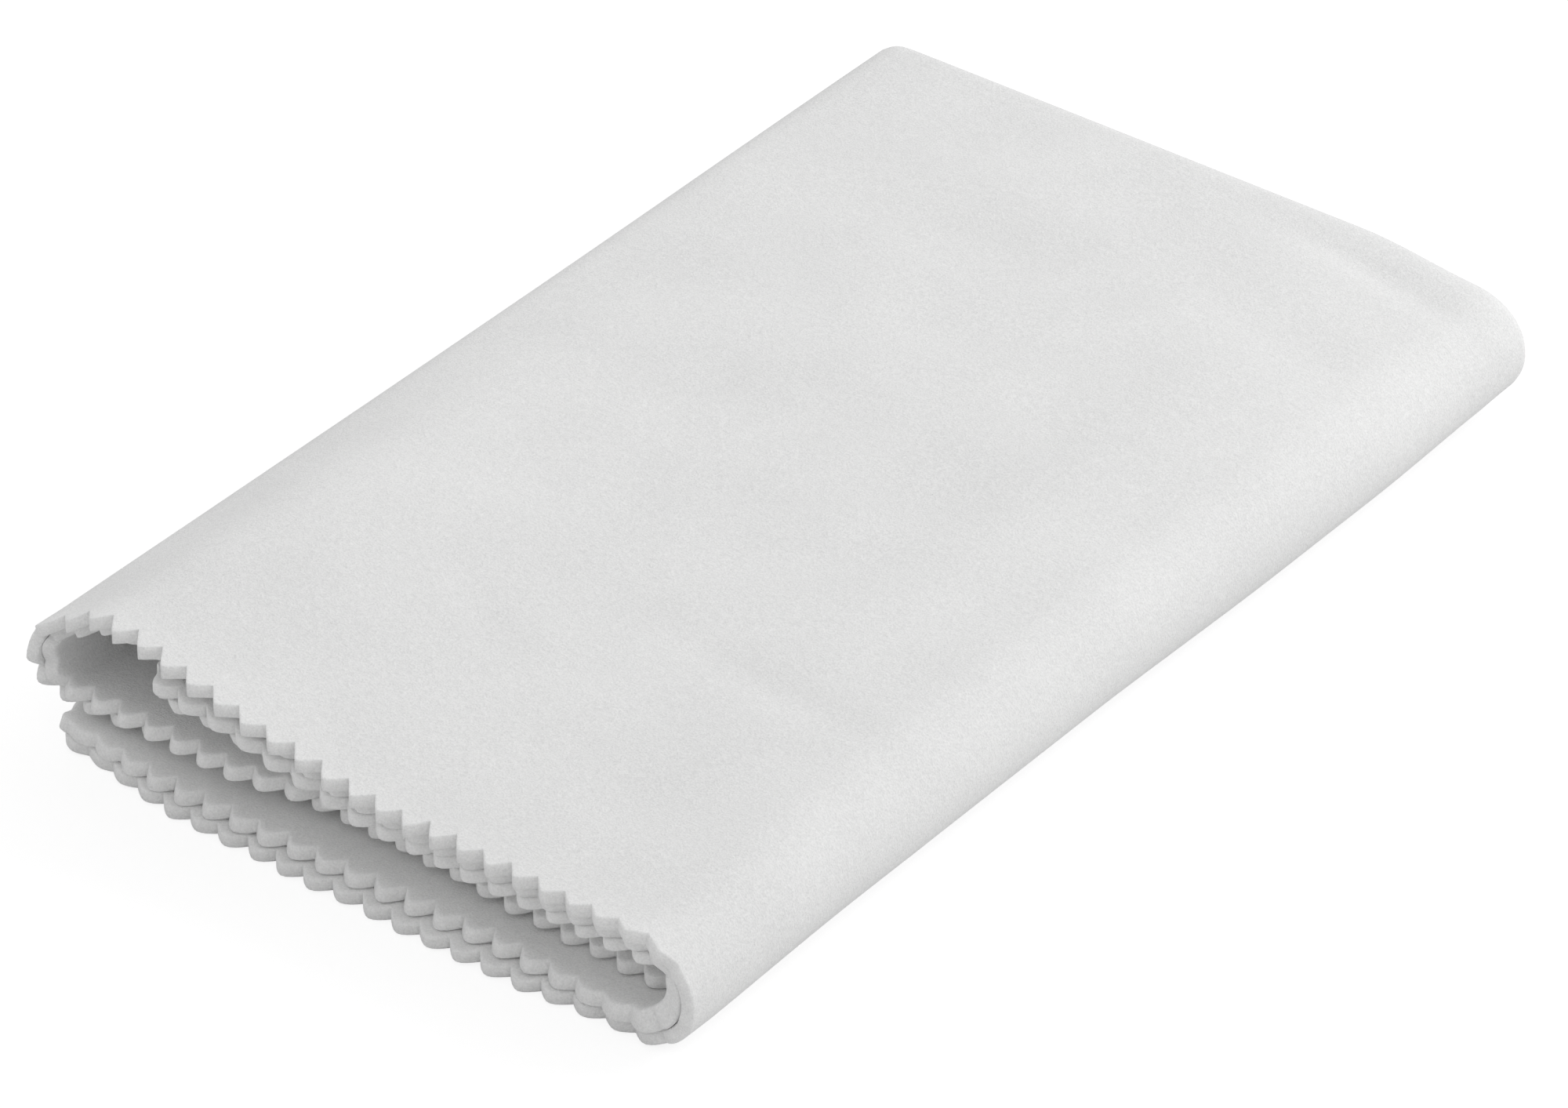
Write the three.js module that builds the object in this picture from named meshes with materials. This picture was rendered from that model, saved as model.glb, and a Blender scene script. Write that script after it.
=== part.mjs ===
// Silver polishing cloth: one soft brushed cotton cloth with pinked ends, folded in half along its
// length and then rolled up flat into four panels.  Sizes are in millimetres, +Z is up, the pinked
// ends face -Y and the cloth lies on z = 0.
import * as THREE from 'three';

// The cloth itself
const plyThickness = 1.3;
const pinkPitch = 3.9;
const pinkDepth = 2.2;
const hemDepth = 3;

// The folded cloth
const foldedLength = 154.2;
const foldedWidth = 91.9;
const plyGap = 0.47;
const rollGap = 1.8;
const bottomEndInset = 2.4;
const rollEndInset = 14.3;
const innerFoldInset = 0.8;

// How the hand folding left it: the pinked ends step back behind the foremost one, the cover bulges
// up at the near left corner, the rolled-in panels sag at the near right, and the far end is puffy
const deepestSetback = 6;
const nearLift = 7;
const nearSag = 1.1;
const nearReach = 115;
const farRiseLeft = 1.7;
const farRiseRight = 1.3;
const farCornerDrop = 1.1;

// Heights of the middle of each pair of plies
const plyPitch = plyThickness + plyGap;
const pairHalf = plyThickness + plyGap / 2;
const pairPitch = 2 * pairHalf + plyGap;
const bottomHeight = pairHalf;
const thirdHeight = 3 * pairHalf + rollGap;
const fourthHeight = thirdHeight + pairPitch;
const topHeight = fourthHeight + pairPitch;

// Centres and radii of the three folds that run along the cloth
const outerRadius = (topHeight - bottomHeight) / 2;
const leftRadius = (topHeight - thirdHeight) / 2;
const innerRadius = (fourthHeight - thirdHeight) / 2;
const rightCentre = foldedWidth / 2 - outerRadius - pairHalf;
const leftCentre = leftRadius + pairHalf - foldedWidth / 2;
const innerCentre = rightCentre - innerFoldInset;
const bottomEnd = bottomEndInset - foldedWidth / 2;
const rollEnd = rollEndInset - foldedWidth / 2;

// Ends of the folded cloth along Y
const frontY = -foldedLength / 2;
const turnY = foldedLength / 2 - pairHalf;

// Pieces that the path across the cloth is cut into, panel by panel and fold by fold
const bottomSteps = 2;
const outerFoldSteps = 8;
const topSteps = 6;
const leftFoldSteps = 6;
const thirdSteps = 3;
const innerFoldSteps = 4;
const fourthSteps = 3;
const turnSteps = 3;
const middleRowShare = 0.45;

// Setbacks of the pinked ends at the landmarks of the path: five to a panel and one to a fold
const outerPlySetbackShares = [
  1, 0.38, 0.3, 0.3, 0.3, 0.05,
  0, 0, 0, 0.05, 0.15, 0.6,
  0.9, 0.95, 0.95, 0.95, 0.9, 0.8,
  0.65, 0.63, 0.63, 0.63, 0.7,
];
const innerPlySetbackShares = [
  1.05, 0.38, 0.3, 0.27, 0.15, 0.35,
  0.5, 0.5, 0.5, 0.5, 0.6, 1.1,
  0.8, 0.75, 0.9, 1.05, 1.1, 1.1,
  0.95, 0.95, 0.95, 0.95, 0.95,
];

// How much of the lift, the sag and the far rise the panels take: bottom, top, third and fourth
const liftPanelShares = [0, 1, 0.15, 0.5];
const sagPanelShares = [0, 0.3, 1, 1];
const farPanelShares = [0, 1, 0.4, 0.7];

// Shares of the width at which the lift starts and is complete, and how it droops over the left fold
const liftStartShare = 0.09;
const liftFullShare = -0.37;
const droopStartShare = -0.3;
const droopFullShare = -0.47;
const droopShare = 0.64;
const sagStartShare = 0.08;
const sagFullShare = 0.4;
const leftEdgeShare = -0.5;
const rightEdgeShare = 0.5;
const dropStartShare = 0.25;
const dropFullShare = 0.45;

const stations = [];
const panelEnds = [];

function addStation(x, z, normalX, normalZ) {
  const last = stations[stations.length - 1];
  const length = last ? last.length + Math.hypot(x - last.x, z - last.z) : 0;
  stations.push({ x, z, normalX, normalZ, length });
}

function addPanel(fromX, toX, height, outward, steps) {
  for (let step = 0; step <= steps; step += 1) {
    const x = fromX + (toX - fromX) * step / steps;
    if (step > 0 || stations.length === 0) {
      addStation(x, height, 0, outward);
    }
    if (step === 0) {
      panelEnds.push(stations[stations.length - 1].length);
    }
  }
  panelEnds.push(stations[stations.length - 1].length);
}

function addFold(centreX, centreZ, radius, startAngle, steps) {
  for (let step = 1; step <= steps; step += 1) {
    const angle = startAngle + Math.PI * step / steps;
    const normalX = Math.cos(angle);
    const normalZ = Math.sin(angle);
    addStation(centreX + radius * normalX, centreZ + radius * normalZ, normalX, normalZ);
  }
}

addPanel(bottomEnd, rightCentre, bottomHeight, -1, bottomSteps);
addFold(rightCentre, bottomHeight + outerRadius, outerRadius, -Math.PI / 2, outerFoldSteps);
addPanel(rightCentre, leftCentre, topHeight, 1, topSteps);
addFold(leftCentre, topHeight - leftRadius, leftRadius, Math.PI / 2, leftFoldSteps);
addPanel(leftCentre, innerCentre, thirdHeight, -1, thirdSteps);
addFold(innerCentre, thirdHeight + innerRadius, innerRadius, -Math.PI / 2, innerFoldSteps);
addPanel(innerCentre, rollEnd, fourthHeight, 1, fourthSteps);
const pathLength = stations[stations.length - 1].length;

// Places along the path that the tables of setbacks are read at
const panelParts = 4;
const landmarks = [];
for (let index = 0; index < panelEnds.length; index += 2) {
  const start = panelEnds[index];
  const stop = panelEnds[index + 1];
  if (index > 0) {
    landmarks.push((panelEnds[index - 1] + start) / 2);
  }
  for (let part = 0; part <= panelParts; part += 1) {
    landmarks.push(start + (stop - start) * part / panelParts);
  }
}

function smooth(share) {
  const t = Math.min(Math.max(share, 0), 1);
  return t * t * (3 - 2 * t);
}

function pathPoint(length) {
  let index = 1;
  while (index < stations.length - 1 && stations[index].length < length) {
    index += 1;
  }
  const a = stations[index - 1];
  const b = stations[index];
  const t = (length - a.length) / (b.length - a.length);
  return {
    x: a.x + (b.x - a.x) * t,
    z: a.z + (b.z - a.z) * t,
    normalX: a.normalX + (b.normalX - a.normalX) * t,
    normalZ: a.normalZ + (b.normalZ - a.normalZ) * t,
  };
}

function setback(length, shares) {
  let index = 1;
  while (index < landmarks.length - 1 && landmarks[index] < length) {
    index += 1;
  }
  const t = smooth((length - landmarks[index - 1]) / (landmarks[index] - landmarks[index - 1]));
  return deepestSetback * (shares[index - 1] + (shares[index] - shares[index - 1]) * t);
}

// A panel's share of a lift; a fold passes smoothly from one panel's share to the next one's
function panelShare(length, shares) {
  let share = shares[0];
  for (let index = 2; index < panelEnds.length; index += 2) {
    const before = panelEnds[index - 1];
    const t = smooth((length - before) / (panelEnds[index] - before));
    share += (shares[index / 2] - shares[index / 2 - 1]) * t;
  }
  return share;
}

// Smoothly from 0 at the start place to 1 at the full one
function between(place, start, full) {
  return smooth((place - start) / (full - start));
}

// How far each point rises above the flat stack
function settle(x, y, length) {
  const across = x / foldedWidth;
  const near = 1 - between(y, frontY, frontY + nearReach);
  const far = between(y, frontY, frontY + foldedLength);
  const droop = droopShare * between(across, droopStartShare, droopFullShare);
  const lift = between(across, liftStartShare, liftFullShare) - droop;
  const sag = between(across, sagStartShare, sagFullShare);
  const farRise = farRiseLeft
    + (farRiseRight - farRiseLeft) * between(across, leftEdgeShare, rightEdgeShare)
    - farCornerDrop * between(across, dropStartShare, dropFullShare);
  return nearLift * lift * near * panelShare(length, liftPanelShares)
    - nearSag * sag * near * panelShare(length, sagPanelShares)
    + farRise * far * panelShare(length, farPanelShares);
}

function clothPoint(length, offset, y) {
  const path = pathPoint(length);
  const x = path.x + path.normalX * offset;
  const z = path.z + path.normalZ * offset + settle(x, y, length);
  return new THREE.Vector3(x, y, z);
}

// Rows of the sheet from the pinked end of the outer ply, round the far fold, to that of the inner
const pinkCount = Math.round(pathLength / pinkPitch);
const rimLengths = [];
for (let step = 0; step <= 2 * pinkCount; step += 1) {
  rimLengths.push(pathLength * step / (2 * pinkCount));
}
const gridLengths = stations.map((station) => station.length);

function plyRow(side, shares, face, place) {
  const offset = side * (plyPitch / 2 + face * plyThickness / 2);
  if (place === 'rim') {
    return rimLengths.map((length, index) => {
      const depth = index % 2 === 0 ? pinkDepth : 0;
      return clothPoint(length, offset, frontY + setback(length, shares) + depth);
    });
  }
  return gridLengths.map((length) => {
    const hemY = frontY + setback(length, shares) + pinkDepth + hemDepth;
    return clothPoint(length, offset, hemY + (turnY - hemY) * place);
  });
}

function turnRow(face, step) {
  const angle = Math.PI * step / turnSteps;
  const radius = plyPitch / 2 + face * plyThickness / 2;
  return gridLengths.map((length) => clothPoint(
    length, radius * Math.cos(angle), turnY + radius * Math.sin(angle)));
}

function faceRows(face) {
  const places = ['rim', 0, middleRowShare, 1];
  const rows = places.map((place) => plyRow(1, outerPlySetbackShares, face, place));
  for (let step = 1; step < turnSteps; step += 1) {
    rows.push(turnRow(face, step));
  }
  places.reverse();
  rows.push(...places.map((place) => plyRow(-1, innerPlySetbackShares, face, place)));
  return rows;
}

// Joins the rows of both faces and the four edges into one closed skin
const corners = [];
const triangles = [];

function storeRows(rows) {
  return rows.map((row) => row.map((point) => {
    corners.push(point.x, point.y, point.z);
    return corners.length / 3 - 1;
  }));
}

function addTriangle(a, b, c, flip) {
  triangles.push(a, flip ? b : c, flip ? c : b);
}

function zipRows(first, second, flip) {
  let i = 0;
  let j = 0;
  while (i < first.length - 1 || j < second.length - 1) {
    const nextFirst = i < first.length - 1 ? (i + 1) / (first.length - 1) : Infinity;
    const nextSecond = j < second.length - 1 ? (j + 1) / (second.length - 1) : Infinity;
    if (nextFirst <= nextSecond) {
      addTriangle(first[i], first[i + 1], second[j], flip);
      i += 1;
    } else {
      addTriangle(first[i], second[j + 1], second[j], flip);
      j += 1;
    }
  }
}

function zipRim(rim, grid, flip) {
  let j = 0;
  for (let i = 0; i < rim.length - 1; i += 1) {
    const middle = (rimLengths[i] + rimLengths[i + 1]) / 2;
    while (j < grid.length - 1 && (gridLengths[j] + gridLengths[j + 1]) / 2 < middle) {
      addTriangle(rim[i], grid[j + 1], grid[j], flip);
      j += 1;
    }
    addTriangle(rim[i], rim[i + 1], grid[j], flip);
  }
  while (j < grid.length - 1) {
    addTriangle(rim[rim.length - 1], grid[j + 1], grid[j], flip);
    j += 1;
  }
}

const outward = storeRows(faceRows(1));
const inward = storeRows(faceRows(-1));
for (const [rows, flip] of [[outward, false], [inward, true]]) {
  const last = rows.length - 1;
  zipRim(rows[0], rows[1], flip);
  for (let index = 1; index < last - 1; index += 1) {
    zipRows(rows[index], rows[index + 1], flip);
  }
  zipRim(rows[last], rows[last - 1], !flip);
}
zipRows(outward[0], inward[0], true);
zipRows(outward[outward.length - 1], inward[inward.length - 1], false);
zipRows(outward.map((row) => row[0]), inward.map((row) => row[0]), false);
zipRows(outward.map((row) => row[row.length - 1]), inward.map((row) => row[row.length - 1]), true);

// Least air between two plies, measured between points on their faces at several cuts across
function leastSelfGap() {
  const cutCount = 6;
  const pointCount = 500;
  const halfTurn = Math.PI * innerRadius;
  let least = Infinity;
  for (let cut = 0; cut <= cutCount; cut += 1) {
    const y = frontY + deepestSetback + (turnY - frontY - deepestSetback) * cut / cutCount;
    const points = [];
    for (let step = 0; step <= pointCount; step += 1) {
      const length = pathLength * step / pointCount;
      for (const side of [1, -1]) {
        for (const face of [1, -1]) {
          const offset = side * (plyPitch / 2 + face * plyThickness / 2);
          const point = clothPoint(length, offset, y);
          points.push({ side, length, x: point.x, z: point.z });
        }
      }
    }
    for (const a of points) {
      for (const b of points) {
        if (a.side !== b.side || Math.abs(a.length - b.length) > halfTurn) {
          least = Math.min(least, Math.hypot(a.x - b.x, a.z - b.z));
        }
      }
    }
  }
  return least;
}

console.log(`least gap between two plies: ${leastSelfGap().toFixed(3)} mm`);
console.log(`flat cloth: ${pathLength.toFixed(1)} mm wide, ${pinkCount} pinked teeth across`);

const geometry = new THREE.BufferGeometry();
geometry.setAttribute('position', new THREE.Float32BufferAttribute(corners, 3));
geometry.setIndex(triangles);
geometry.computeVertexNormals();

const cotton = new THREE.MeshStandardMaterial({ color: 0xe9e9e6, roughness: 0.95, metalness: 0 });
const cloth = new THREE.Mesh(geometry, cotton);
cloth.name = 'polishing_cloth';

const part = new THREE.Group();
part.name = 'silver_polishing_cloth';
part.add(cloth);

export default part;
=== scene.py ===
import math

import bpy
import numpy as np
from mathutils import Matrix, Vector


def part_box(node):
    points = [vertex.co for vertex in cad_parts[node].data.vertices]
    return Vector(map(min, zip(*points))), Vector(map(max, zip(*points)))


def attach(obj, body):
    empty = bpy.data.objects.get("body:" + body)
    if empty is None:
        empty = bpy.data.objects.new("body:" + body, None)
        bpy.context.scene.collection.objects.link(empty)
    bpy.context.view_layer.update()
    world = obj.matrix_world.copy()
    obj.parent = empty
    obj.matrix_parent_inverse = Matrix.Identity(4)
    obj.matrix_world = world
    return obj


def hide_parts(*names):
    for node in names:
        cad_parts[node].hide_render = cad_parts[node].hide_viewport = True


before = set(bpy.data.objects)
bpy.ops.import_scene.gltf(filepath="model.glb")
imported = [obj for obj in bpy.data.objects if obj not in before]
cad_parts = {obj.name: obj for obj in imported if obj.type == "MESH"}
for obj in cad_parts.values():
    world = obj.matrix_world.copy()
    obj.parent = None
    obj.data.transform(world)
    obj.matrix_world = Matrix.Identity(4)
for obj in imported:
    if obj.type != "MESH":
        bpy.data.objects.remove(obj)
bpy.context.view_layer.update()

# The folded cloth's box comes from the frame; all sizes are in metres
NODE = "polishing_cloth"
LOW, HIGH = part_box(NODE)
WIDTH = HIGH.x - LOW.x
FRONT = LOW.y
BACK = HIGH.y
RIGHT = HIGH.x
LEFT = LOW.x

# The sheet is folded in half, so it is a pair of plies; each ply has a face turned away from the
# other ply and one turned to it
OUTER, INNER = 1, -1
AWAY, TOWARDS = 1, -1

# One ply with its nap, and the room that plies and folds take
PLY = 0.0017
PLY_PITCH = 0.00177
PAIR_HALF = (PLY + PLY_PITCH) / 2
THIRD_HEIGHT = 0.00608
FOURTH_HEIGHT = 0.00963
TOP_HEIGHT = 0.0132
BOTTOM_END_INSET = 0.003
ROLL_END_INSET = 0.0187
INNER_FOLD_OVERHANG = 0.0004

# Cut edges: crisp on the cover, soft on the other plies
CRISP_ROUND = 0.00025
SOFT_ROUND = 0.0006
CRISP_FLAT_SHARE = 0.8
SOFT_FLAT_SHARE = 0.6
CRISP_TIP_SHARE = 0.08
SOFT_TIP_SHARE = 0.6

# Pinked ends: counts of teeth along the path, for each ply, at both ends of each panel and in
# the middle of each fold; tips are at the halves
OUTER_TEETH = (0.8, 21.2, 23.8, 26.4, 48.4, 49.45, 52.1, 73.0, 73.7, 74.4, 92.1)
INNER_TEETH = (1.5, 22.2, 24.2, 26.3, 48.3, 49.9, 51.5, 72.5, 73.2, 74.0, 91.5)
PINK_DEPTH = 0.0021
PINK_REACH = 0.005
CUT_SLANT = 0.0002

# How the pinked ends step back behind the foremost one, and how deep their teeth are: five
# places to a panel and one to a fold
PANEL_PARTS = 4
SETBACK = 0.006
OUTER_SETBACK_SHARES = (
    0.75, 0.24, 0.1, 0.06, 0.2, 0.2,
    0.02, 0.02, 0.02, 0.03, 0.28, 0.68,
    0.98, 1.2, 1.18, 1.02, 0.9, 0.55,
    0.25, 0.25, 0.28, 0.25, 0.2,
)
INNER_SETBACK_SHARES = (
    0.72, 0.35, 0.3, 0.3, 0.12, 0.25,
    0.17, 0.2, 0.27, 0.5, 0.6, 0.8,
    0.8, 0.65, 1.15, 1.2, 1.1, 0.85,
    0.8, 0.8, 0.8, 0.6, 0.3,
)
OUTER_DEPTH_SHARES = (
    0.25, 0.65, 0.7, 0.7, 0.45, 0.0,
    0.55, 1.0, 1.0, 1.0, 0.95, 0.6,
    0.8, 0.9, 0.9, 0.9, 0.9, 0.7,
    0.8, 0.8, 0.8, 0.8, 0.7,
)
INNER_DEPTH_SHARES = (
    0.25, 0.8, 0.85, 0.85, 0.4, 0.0,
    0.5, 0.9, 0.95, 0.95, 0.9, 0.25,
    0.8, 0.9, 0.9, 0.9, 0.9, 0.7,
    0.8, 0.8, 0.8, 0.8, 0.7,
)
PINKED_ENDS = {
    OUTER: (OUTER_TEETH, OUTER_SETBACK_SHARES, OUTER_DEPTH_SHARES),
    INNER: (INNER_TEETH, INNER_SETBACK_SHARES, INNER_DEPTH_SHARES),
}

# Pinked side edges: their teeth, which are shallower near the corners, and the corners' radius
SIDE_PITCH = 0.0038
SIDE_TIP = 0.0048
SIDE_CORNER_SHARE = 0.35
SIDE_CORNER_FROM_TO = (0.006, 0.015)
CORNER_ROUND = 0.0022

# Chance differences from tooth to tooth
UNEVEN_DEPTH_SHARE = 0.18
UNEVEN_SETBACK = 0.00015
UNEVEN_RISE = 0.0001
UNEVEN_COUNT = 120
FRAY = 0.00006
FRAYS_A_TOOTH = 2.3
DEPTH_SEED, FRAY_SEED, SETBACK_SEED, RISE_SEED = 10, 20, 30, 40

# Steps of the mesh
COLUMNS_A_TOOTH = 8
FLAT_STEP = 0.002
FOLD_STEP = 0.0006
LEAST_STEPS = 2
ROW_STEP = 0.00098
TURN_STEPS = 8
EDGE_STEPS = (0.0, 0.00008, 0.0002, 0.0004, 0.0007)
EDGE_CLEAR_SHARE = 1.5
RIM_STEPS = EDGE_STEPS + (0.0012, 0.0019, 0.0028, 0.0038, 0.005)
RIM = RIM_STEPS[-1]

# How far the panels rise above the flat stack. Each pair says where across the width, as a share
# of it from the middle, the rise starts and where it is full
NEAR_REACH = 0.115
NEAR_LIFT = 0.007
NEAR_LIFT_FROM_TO = (0.09, -0.37)
LOOP_EASE_SHARE = 0.85
LOOP_EASE_FROM_TO = (-0.34, -0.5)
NEAR_SAG = 0.0009
NEAR_SAG_FROM_TO = (0.08, 0.3)
FAR_RISE_LEFT = 0.0017
FAR_RISE_RIGHT = 0.0013
FAR_RISE_FROM_TO = (-0.5, 0.5)
FAR_CORNER_DROP = 0.0017
FAR_CORNER_FROM_TO = (0.25, 0.45)
FAR_CURL = 0.001
FAR_CURL_REACH = 0.03
FAR_CURL_FROM_TO = (0.3, 0.5)

# The bottom, top, third and fourth panel's shares of these
LIFT_PANEL_SHARES = (0, 1, 0, 0.93)
SAG_PANEL_SHARES = (0, 0.35, 1, 0)
FAR_PANEL_SHARES = (0, 1, 0.4, 0.7)
CURL_PANEL_SHARES = (1, 0, 0, 0)
DENT_PANEL_SHARES = (0, 1, 0, 0.8)
CRISP_PANEL_SHARES = (0, 1, 0, 0)

# The thick fold isn't quite straight: it bows in along its near half
BOW = 0.0006
BOW_FROM_TO = (0.2, 0.45)
BOW_STARTS = (-0.077, -0.045)
BOW_ENDS = (-0.005, 0.03)

# The inner ply bunches up where it turns up into the thick fold, near the pinked end; the place
# and the spread are shares of the fold's length
BUNCH = 0.0013
BUNCH_REACH = 0.008
BUNCH_PLACE = 0.25
BUNCH_SPREAD = 0.35

# Shallow dents in the cover: x, y, direction in degrees, half length, half width, depth
DENTS = (
    (0.025, -0.0345, -4, 0.016, 0.0028, 0.0004),
    (-0.007, -0.0440, -32, 0.009, 0.0020, 0.00025),
    (-0.007, 0.0467, 10, 0.016, 0.0065, 0.0006),
    (0.026, 0.0537, -15, 0.016, 0.0065, 0.0006),
    (0.030, 0.0700, -4, 0.014, 0.0024, 0.0007),
    (0.034, -0.0700, 0, 0.008, 0.0050, 0.0003),
    (0.034, -0.0036, 85, 0.016, 0.0050, 0.0004),
    (-0.010, 0.0020, 40, 0.022, 0.0090, 0.0005),
)


def smooth(share):
    t = np.clip(share, 0.0, 1.0)
    return t * t * (3.0 - 2.0 * t)


def between(place, start, full):
    """Smoothly from 0 at the start place to 1 at the full one."""
    return smooth((place - start) / (full - start))


def blend(first, second, share):
    return first + (second - first) * share


class Path:
    """The line midway between the two plies, across the folded cloth from its bottom end."""

    def __init__(self):
        outer_radius = (TOP_HEIGHT - PAIR_HALF) / 2
        left_radius = (TOP_HEIGHT - THIRD_HEIGHT) / 2
        inner_radius = (FOURTH_HEIGHT - THIRD_HEIGHT) / 2
        right_x = RIGHT - outer_radius - PAIR_HALF
        left_x = LEFT + left_radius + PAIR_HALF
        inner_x = right_x + INNER_FOLD_OVERHANG
        self.spans = []
        self.marks = []
        self.ends = []
        self.tooth_marks = []
        self.length = 0.0
        self.add_panel(LEFT + BOTTOM_END_INSET, right_x, PAIR_HALF, -1)
        self.add_fold(right_x, PAIR_HALF + outer_radius, outer_radius, -math.pi / 2)
        self.add_panel(right_x, left_x, TOP_HEIGHT, 1)
        self.add_fold(left_x, TOP_HEIGHT - left_radius, left_radius, math.pi / 2)
        self.add_panel(left_x, inner_x, THIRD_HEIGHT, -1)
        self.add_fold(inner_x, THIRD_HEIGHT + inner_radius, inner_radius, -math.pi / 2)
        self.add_panel(inner_x, LEFT + ROLL_END_INSET, FOURTH_HEIGHT, 1)

    def add_panel(self, start_x, end_x, height, outward):
        start, length = self.length, abs(end_x - start_x)
        self.spans.append(("panel", start, length, (start_x, end_x, height, outward)))
        self.marks += [start + length * part / PANEL_PARTS for part in range(PANEL_PARTS + 1)]
        self.ends += [start, start + length]
        self.tooth_marks += [start, start + length]
        self.length += length

    def add_fold(self, centre_x, centre_z, radius, start_angle):
        start, length = self.length, math.pi * radius
        self.spans.append(("fold", start, length, (centre_x, centre_z, radius, start_angle)))
        self.marks.append(start + length / 2)
        self.tooth_marks.append(start + length / 2)
        self.length += length

    def at(self, s):
        """Position at each place along the path, and the direction from there to the outer ply."""
        x, z, out_x, out_z = (np.zeros_like(s) for _ in range(4))
        last = len(self.spans) - 1
        for index, (kind, start, length, shape) in enumerate(self.spans):
            low = -math.inf if index == 0 else start
            high = math.inf if index == last else start + length
            here = (s >= low) & (s < high)
            t = (s[here] - start) / length
            if kind == "panel":
                start_x, end_x, height, outward = shape
                x[here] = blend(start_x, end_x, t)
                z[here] = height
                out_z[here] = outward
            else:
                centre_x, centre_z, radius, start_angle = shape
                out_x[here] = np.cos(start_angle + math.pi * t)
                out_z[here] = np.sin(start_angle + math.pi * t)
                x[here] = centre_x + radius * out_x[here]
                z[here] = centre_z + radius * out_z[here]
        return x, z, out_x, out_z

    def columns(self):
        """Places along the path, closer together in the folds and at both ends."""
        places = []
        for kind, start, length, _ in self.spans:
            step = FLAT_STEP if kind == "panel" else FOLD_STEP
            count = max(LEAST_STEPS, round(length / step))
            places += [start + length * i / count for i in range(count)]
        return with_ends(np.array(places + [self.length]), self.length)


def with_ends(places, length):
    """Swaps the first and last places for the close steps of a cut edge."""
    edge = np.array(EDGE_STEPS)
    clear = edge[-1] * EDGE_CLEAR_SHARE
    inner = places[(places > clear) & (places < length - clear)]
    return np.concatenate([edge, inner, length - edge[::-1]])


def by_marks(marks, shares, s):
    """A table of shares read at s, smoothly between the marks."""
    marks = np.array(marks)
    shares = np.array(shares, float)
    i = np.clip(np.searchsorted(marks, s) - 1, 0, len(marks) - 2)
    return blend(shares[i], shares[i + 1], between(s, marks[i], marks[i + 1]))


def panel_share(path, s, shares):
    """A panel's share; a fold passes smoothly from one panel's share to the next one's."""
    share = np.full_like(s, shares[0])
    for index in range(1, len(shares)):
        before, after = path.ends[2 * index - 1], path.ends[2 * index]
        share += (shares[index] - shares[index - 1]) * between(s, before, after)
    return share


def tooth(count, tip_share):
    """0 at the tips of the teeth, halfway between whole counts, and 1 in the notches."""
    t = np.abs(count % 1.0 - 0.5) * 2.0
    full = np.sqrt(1 + tip_share ** 2) - tip_share
    return (np.sqrt(t * t + tip_share ** 2) - tip_share) / full


def uneven(count, seed):
    """A chance number from -1 to 1 for each tooth, changing evenly from tip to tip."""
    values = np.random.default_rng(seed).uniform(-1, 1, UNEVEN_COUNT)
    return np.interp(count, np.arange(UNEVEN_COUNT) + 0.5, values)


def cut_profile(distance, crisp):
    """Half thickness near a cut edge, as a share of that of the whole ply."""
    flat = blend(SOFT_FLAT_SHARE, CRISP_FLAT_SHARE, crisp)
    t = np.clip(distance / blend(SOFT_ROUND, CRISP_ROUND, crisp), 0.0, 1.0)
    return blend(flat, 1, np.sqrt(1 - (1 - t) ** 2))


def dents(x, y):
    """How far the shallow dents take the cover down."""
    depth = np.zeros_like(x)
    for place_x, place_y, angle, half_length, half_width, deepest in DENTS:
        along, across = math.cos(math.radians(angle)), math.sin(math.radians(angle))
        u = (x - place_x) * along + (y - place_y) * across
        v = (y - place_y) * along - (x - place_x) * across
        depth += deepest * np.exp(-((u / half_length) ** 2) - (v / half_width) ** 2)
    return depth


def settle(path, x, y, s):
    """How far each point rises above the flat stack."""
    across = x / WIDTH
    near = 1 - between(y, FRONT, FRONT + NEAR_REACH)
    far = between(y, FRONT, BACK)
    lift = between(across, *NEAR_LIFT_FROM_TO)
    lift = lift - LOOP_EASE_SHARE * between(across, *LOOP_EASE_FROM_TO)
    sag = between(across, *NEAR_SAG_FROM_TO)
    far_rise = blend(FAR_RISE_LEFT, FAR_RISE_RIGHT, between(across, *FAR_RISE_FROM_TO))
    far_rise = far_rise - FAR_CORNER_DROP * between(across, *FAR_CORNER_FROM_TO)
    curl = between(across, *FAR_CURL_FROM_TO) * between(y, BACK - FAR_CURL_REACH, BACK)
    return (
        NEAR_LIFT * lift * near * panel_share(path, s, LIFT_PANEL_SHARES)
        - NEAR_SAG * sag * near * panel_share(path, s, SAG_PANEL_SHARES)
        + far_rise * far * panel_share(path, s, FAR_PANEL_SHARES)
        + FAR_CURL * curl * panel_share(path, s, CURL_PANEL_SHARES)
        - dents(x, y) * panel_share(path, s, DENT_PANEL_SHARES)
    )


def bow_in(x, y):
    """How far the thick fold bows in."""
    along = between(y, *BOW_STARTS) * (1 - between(y, *BOW_ENDS))
    return BOW * between(x / WIDTH, *BOW_FROM_TO) * along


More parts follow.
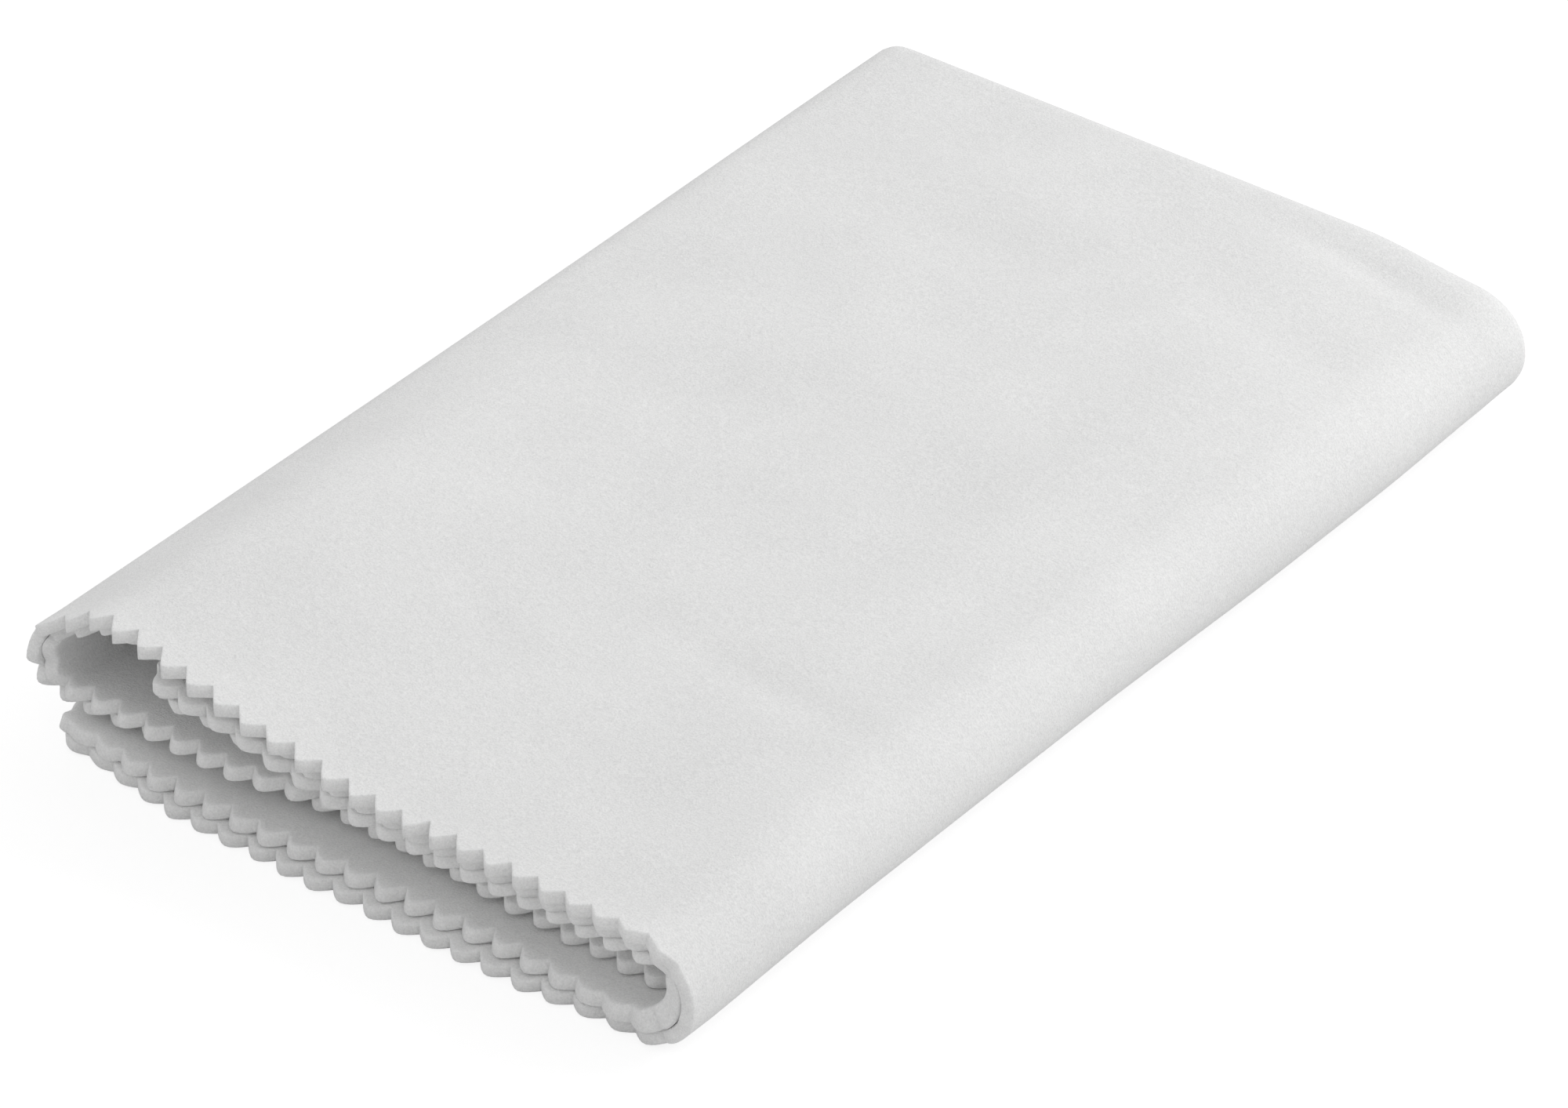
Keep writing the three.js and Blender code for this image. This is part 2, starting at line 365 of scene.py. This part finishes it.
class Sheet:
    """The cloth as rows of points on both its faces, from one pinked end round to the other."""

    def __init__(self, path):
        self.path = path
        self.points = []
        self.faces = []
        self.turn_y = BACK - PAIR_HALF
        self.grid_columns = path.columns()
        self.rim_columns = {ply: self.tooth_columns(ply) for ply in (OUTER, INNER)}
        row_count = round((self.turn_y - FRONT - RIM) / ROW_STEP)
        self.row_shares = np.linspace(0, 1, row_count + 1)[1:]

    def tooth_columns(self, ply):
        """Places along the path in equal parts of the teeth, so that tips and notches are kept."""
        teeth = PINKED_ENDS[ply][0]
        counts = np.arange(math.ceil(teeth[0] * COLUMNS_A_TOOTH), teeth[-1] * COLUMNS_A_TOOTH)
        places = np.interp(counts / COLUMNS_A_TOOTH, teeth, self.path.tooth_marks)
        return with_ends(places, self.path.length)

    def store(self, s, y, offset, rise=0.0):
        """Adds a row of points at places s along the path, an offset away from its middle line."""
        x, z, out_x, out_z = self.path.at(s)
        x = x + out_x * offset - bow_in(x, y)
        z = z + out_z * offset + settle(self.path, x, y, s) + rise
        first = sum(len(row) for row in self.points)
        self.points.append(np.column_stack([x, y, z]))
        return np.arange(first, first + len(s))

    def shifted(self, columns, y):
        """Columns moved in by the pinking of the side edges, and how far each is from its edge."""
        from_start = columns
        from_end = self.path.length - columns
        depth = PINK_DEPTH * tooth(0.5 + (y - FRONT - SIDE_TIP) / SIDE_PITCH, SOFT_TIP_SHARE)
        depth = depth * blend(SIDE_CORNER_SHARE, 1, between(y - FRONT, *SIDE_CORNER_FROM_TO))
        start_shift = depth * np.clip(1 - from_start / PINK_REACH, 0, 1)
        end_shift = depth * np.clip(1 - from_end / PINK_REACH, 0, 1)
        return columns + start_shift - end_shift, np.minimum(from_start, from_end)

    def bunch(self, columns, y):
        """How much thicker the inner ply is at the foot of the thick fold."""
        start, stop = self.path.ends[1], self.path.ends[2]
        from_foot = (columns - start) / (stop - start) - BUNCH_PLACE
        across = np.exp(-((from_foot / BUNCH_SPREAD) ** 2))
        return BUNCH * across * (1 - between(y, FRONT, FRONT + BUNCH_REACH))

    def end_line(self, columns, ply):
        """Where a ply's tips would lie if its teeth were all alike."""
        return FRONT + SETBACK * by_marks(self.path.marks, PINKED_ENDS[ply][1], columns)

    def cut_in(self, columns, ply, face, count, crisp):
        """How far teeth, frays and rounded corners cut in behind the end line."""
        depth = PINK_DEPTH * by_marks(self.path.marks, PINKED_ENDS[ply][2], columns)
        depth = depth * tooth(count, blend(SOFT_TIP_SHARE, CRISP_TIP_SHARE, crisp))
        depth = depth * (1 + UNEVEN_DEPTH_SHARE * uneven(count, DEPTH_SEED + ply))
        setback = UNEVEN_SETBACK * (1 + uneven(count, SETBACK_SEED + ply))
        frayed = FRAY * uneven(count * FRAYS_A_TOOTH % UNEVEN_COUNT, FRAY_SEED + ply)
        from_side = np.minimum(columns, self.path.length - columns)
        beyond = np.clip(1 - from_side / CORNER_ROUND, 0, 1)
        corner = CORNER_ROUND * (1 - np.sqrt(1 - beyond ** 2))
        slant = CUT_SLANT * face * (ply == INNER)
        return depth + setback + frayed + corner + slant

    def ply_row(self, columns, ply, face, distance):
        """A row of points on one face of a ply, at a distance behind its pinked end."""
        count = np.interp(columns, self.path.tooth_marks, PINKED_ENDS[ply][0])
        crisp = panel_share(self.path, columns, CRISP_PANEL_SHARES) * (ply == OUTER)
        loose = np.clip(1 - distance / PINK_REACH, 0, 1)
        cut = self.cut_in(columns, ply, face, count, crisp)
        y = self.end_line(columns, ply) + cut * loose + distance
        s, inset = self.shifted(columns, y)
        bunch = self.bunch(columns, y) * (ply == INNER)
        half = (PLY + bunch) / 2 * cut_profile(np.minimum(distance, inset), crisp)
        rise = UNEVEN_RISE * loose * (1 + uneven(count, RISE_SEED + ply))
        return self.store(s, y, ply * ((PLY_PITCH + bunch) / 2 + face * half), rise)

    def turn_row(self, columns, face, angle):
        """A row of points on one face of the fold at the far end."""
        s, inset = self.shifted(columns, np.full_like(columns, self.turn_y))
        radius = PLY_PITCH / 2 + face * PLY / 2 * cut_profile(inset, 0)
        return self.store(s, self.turn_y + radius * math.sin(angle), radius * math.cos(angle))

    def face_rows(self, face):
        """All rows of one face, from the outer ply's pinked end to the inner ply's."""
        rows = {}
        for ply in (OUTER, INNER):
            room = self.turn_y - self.end_line(self.grid_columns, ply) - RIM
            rows[ply] = [
                self.ply_row(self.rim_columns[ply], ply, face, step) for step in RIM_STEPS
            ] + [
                self.ply_row(self.grid_columns, ply, face, RIM + room * share)
                for share in self.row_shares
            ]
        turns = [
            self.turn_row(self.grid_columns, face, math.pi * i / TURN_STEPS)
            for i in range(1, TURN_STEPS)
        ]
        return rows[OUTER] + turns + rows[INNER][::-1]

    def strip(self, first, second, flip):
        """Joins two rows of as many points with quads."""
        quads = np.column_stack([first[:-1], first[1:], second[1:], second[:-1]])
        self.faces += (quads[:, ::-1] if flip else quads).tolist()

    def zip_up(self, fine, coarse, fine_s, flip):
        """Joins a row of the pinked rim with a row of the grid."""
        coarse_s = self.grid_columns
        i = j = 0
        while i < len(fine) - 1 or j < len(coarse) - 1:
            next_fine = fine_s[i + 1] if i < len(fine) - 1 else math.inf
            next_coarse = coarse_s[j + 1] if j < len(coarse) - 1 else math.inf
            if next_fine <= next_coarse:
                face = [fine[i], fine[i + 1], coarse[j]]
                i += 1
            else:
                face = [fine[i], coarse[j + 1], coarse[j]]
                j += 1
            self.faces.append([int(v) for v in (face[::-1] if flip else face)])

    def join_face(self, rows, flip):
        """Joins the rows of one face; the rims' last rows are zipped to the grid's first ones."""
        first_zip = len(RIM_STEPS) - 1
        second_zip = len(rows) - 1 - len(RIM_STEPS)
        for index, (first, second) in enumerate(zip(rows, rows[1:])):
            if index == first_zip:
                self.zip_up(first, second, self.rim_columns[OUTER], flip)
            elif index == second_zip:
                self.zip_up(second, first, self.rim_columns[INNER], not flip)
            else:
                self.strip(first, second, flip)

    def build(self, name):
        away = self.face_rows(AWAY)
        towards = self.face_rows(TOWARDS)
        self.join_face(away, True)
        self.join_face(towards, False)
        self.strip(away[0], towards[0], False)
        self.strip(away[-1], towards[-1], True)
        for end, flip in ((0, True), (-1, False)):
            for k in range(len(away) - 1):
                ends = [away[k][end], towards[k][end], towards[k + 1][end], away[k + 1][end]]
                self.faces.append([int(v) for v in (ends if flip else ends[::-1])])
        mesh = bpy.data.meshes.new(name)
        mesh.from_pydata(np.vstack(self.points).tolist(), [], self.faces)
        mesh.validate()
        mesh.update()
        mesh.polygons.foreach_set("use_smooth", [True] * len(mesh.polygons))
        cloth = bpy.data.objects.new(name, mesh)
        bpy.context.collection.objects.link(cloth)
        return cloth


def cotton_material():
    """Off-white brushed cotton: soft mottling, fine nap and a little sheen."""
    material = bpy.data.materials.new("brushed_cotton")
    material.use_nodes = True
    nodes, links = material.node_tree.nodes, material.node_tree.links
    shader = nodes["Principled BSDF"]
    shader.inputs["Roughness"].default_value = 0.95
    shader.inputs["Specular IOR Level"].default_value = 0.2
    shader.inputs["Sheen Weight"].default_value = 0.15
    shader.inputs["Sheen Roughness"].default_value = 0.6
    shader.inputs["Subsurface Weight"].default_value = 0.4
    shader.inputs["Subsurface Scale"].default_value = 0.002
    shader.inputs["Subsurface Radius"].default_value = (1, 1, 1)

    place = nodes.new("ShaderNodeTexCoord")

    def noise(scale, detail, roughness):
        node = nodes.new("ShaderNodeTexNoise")
        node.inputs["Scale"].default_value = scale
        node.inputs["Detail"].default_value = detail
        node.inputs["Roughness"].default_value = roughness
        links.new(place.outputs["Object"], node.inputs["Vector"])
        return node.outputs["Fac"]

    def mix(first, second, share):
        node = nodes.new("ShaderNodeMix")
        node.data_type = "FLOAT"
        node.inputs["Factor"].default_value = share
        links.new(first, node.inputs["A"])
        links.new(second, node.inputs["B"])
        return node.outputs["Result"]

    fine = noise(scale=4300, detail=2, roughness=0.6)
    soft = noise(scale=1300, detail=3, roughness=0.6)
    broad = noise(scale=60, detail=2, roughness=0.5)
    shade = mix(mix(soft, broad, 0.48), fine, 0.6)
    ramp = nodes.new("ShaderNodeValToRGB")
    dark, light = ramp.color_ramp.elements
    dark.position = 0.3
    dark.color = (0.72, 0.72, 0.72, 1)
    light.position = 0.7
    light.color = (0.94, 0.94, 0.935, 1)
    links.new(shade, ramp.inputs["Fac"])
    links.new(ramp.outputs["Color"], shader.inputs["Base Color"])

    bump = nodes.new("ShaderNodeBump")
    bump.inputs["Strength"].default_value = 0.7
    bump.inputs["Distance"].default_value = 0.0003
    links.new(mix(fine, soft, 0.5), bump.inputs["Height"])
    links.new(bump.outputs["Normal"], shader.inputs["Normal"])
    return material


def floor_material():
    """White in the camera's view but for the object's shadow, and a pale grey to other rays."""
    material = bpy.data.materials.new("studio_floor")
    material.use_nodes = True
    nodes, links = material.node_tree.nodes, material.node_tree.links
    nodes.clear()
    output = nodes.new("ShaderNodeOutputMaterial")
    path = nodes.new("ShaderNodeLightPath")
    plain = nodes.new("ShaderNodeBsdfDiffuse")
    plain.inputs["Color"].default_value = (0.75, 0.75, 0.75, 1)
    seen = nodes.new("ShaderNodeBsdfDiffuse")
    seen.inputs["Color"].default_value = (0.3, 0.3, 0.3, 1)
    glow = nodes.new("ShaderNodeEmission")
    glow.inputs["Strength"].default_value = 0.8
    both = nodes.new("ShaderNodeAddShader")
    links.new(seen.outputs[0], both.inputs[0])
    links.new(glow.outputs[0], both.inputs[1])
    mixed = nodes.new("ShaderNodeMixShader")
    links.new(path.outputs["Is Camera Ray"], mixed.inputs[0])
    links.new(plain.outputs[0], mixed.inputs[1])
    links.new(both.outputs[0], mixed.inputs[2])
    links.new(mixed.outputs[0], output.inputs["Surface"])
    return material


def make_floor():
    half_size = 1.5
    mesh = bpy.data.meshes.new("studio_floor")
    signs = ((-1, -1), (1, -1), (1, 1), (-1, 1))
    corners = [(x * half_size, y * half_size, 0.0) for x, y in signs]
    mesh.from_pydata(corners, [], [(0, 1, 2, 3)])
    floor = bpy.data.objects.new("studio_floor", mesh)
    floor.data.materials.append(floor_material())
    bpy.context.collection.objects.link(floor)


def make_camera():
    """The photograph's camera, by its angles, its distance and the focal length in pixels."""
    image_width = 2000
    focal_pixels = 10762
    azimuth = math.radians(37.505)
    elevation = math.radians(34.26)
    distance = 0.9267
    target = Vector((-0.00308, 0.00312, 0))
    back = Vector((
        math.sin(azimuth) * math.cos(elevation),
        -math.cos(azimuth) * math.cos(elevation),
        math.sin(elevation),
    ))
    data = bpy.data.cameras.new("camera")
    data.sensor_width = 36
    data.lens = data.sensor_width * focal_pixels / image_width
    camera = bpy.data.objects.new("camera", data)
    camera.location = target + back * distance
    camera.rotation_euler = back.to_track_quat("Z", "Y").to_euler()
    bpy.context.collection.objects.link(camera)
    bpy.context.scene.camera = camera


def make_lamp(name, direction, distance, size, power):
    data = bpy.data.lights.new(name, "AREA")
    data.shape = "DISK"
    data.size = size
    data.energy = power
    lamp = bpy.data.objects.new(name, data)
    toward = Vector(direction).normalized()
    lamp.location = toward * distance
    lamp.rotation_euler = toward.to_track_quat("Z", "Y").to_euler()
    bpy.context.collection.objects.link(lamp)


def make_world():
    """An even light from all sides, which is white in the camera's view."""
    world = bpy.data.worlds.new("studio")
    bpy.context.scene.world = world
    world.use_nodes = True
    nodes, links = world.node_tree.nodes, world.node_tree.links
    background = nodes["Background"]
    background.inputs["Color"].default_value = (1, 1, 1, 1)
    path = nodes.new("ShaderNodeLightPath")
    strength = nodes.new("ShaderNodeMapRange")
    strength.inputs["To Min"].default_value = 0.715
    strength.inputs["To Max"].default_value = 1.0
    links.new(path.outputs["Is Camera Ray"], strength.inputs["Value"])
    links.new(strength.outputs["Result"], background.inputs["Strength"])


def make_cloth():
    path = Path()
    cloth = Sheet(path).build("folded_cloth")
    cloth.data.materials.append(cotton_material())
    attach(cloth, "root")
    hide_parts(NODE)


bpy.context.scene.view_settings.view_transform = "Standard"
make_camera()
make_floor()
make_lamp("key", direction=(0.9, 0.9, 1.0), distance=0.65, size=0.35, power=1.35)
make_world()
make_cloth()
